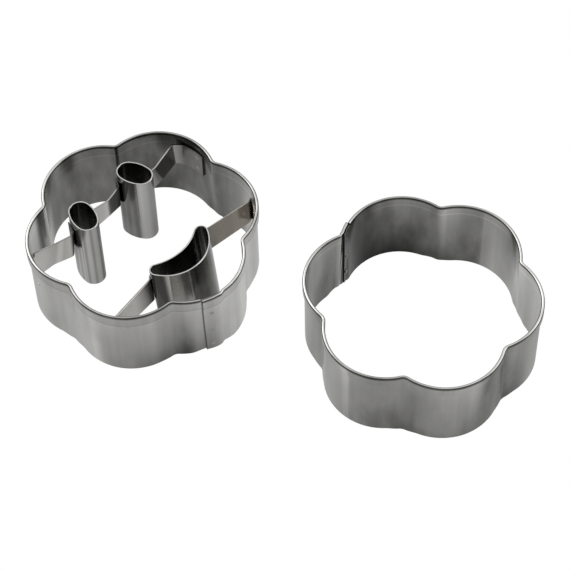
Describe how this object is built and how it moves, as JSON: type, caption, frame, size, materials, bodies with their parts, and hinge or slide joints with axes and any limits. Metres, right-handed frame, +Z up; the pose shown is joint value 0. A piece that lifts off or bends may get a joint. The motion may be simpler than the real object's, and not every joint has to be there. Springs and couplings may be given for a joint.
{
  "type": "flower face cutter set",
  "caption": "Steel strip flower cutters for dough: one with oval eye tubes and a crescent mouth tube hung on spot-welded bridge strips, and one plain.",
  "frame": {"origin": "middle of the box round both cutters, on the surface that they stand on", "axes": "+X from the face cutter to the plain cutter, +Z up from the cutting edges to the folded rims"},
  "size_m": [0.134, 0.0608, 0.0236],
  "materials": {
    "band_steel": "satin rolled stainless steel",
    "tube_steel": "satin rolled stainless steel",
    "bridge_steel": "satin rolled stainless steel",
    "weld_spot": "dull, slightly darkened spot weld"
  },
  "bodies": {
    "face_cutter": {"face_band": "band_steel", "left_eye_tube": "tube_steel", "right_eye_tube": "tube_steel", "mouth_tube": "tube_steel", "left_eye_bridge": "bridge_steel", "middle_eye_bridge": "bridge_steel", "right_eye_bridge": "bridge_steel", "left_mouth_bridge": "bridge_steel", "right_mouth_bridge": "bridge_steel", "face_seam_welds": "weld_spot", "eye_bridge_welds": "weld_spot", "mouth_bridge_welds": "weld_spot"},
    "plain_cutter": {"plain_band": "band_steel", "plain_seam_welds": "weld_spot"}
  },
  "joints": [
    {"name": "plain_cutter_lift", "type": "slide", "parent": "face_cutter", "child": "plain_cutter", "axis": [0, 0, 1], "range_m": [0, 0.06]}
  ]
}
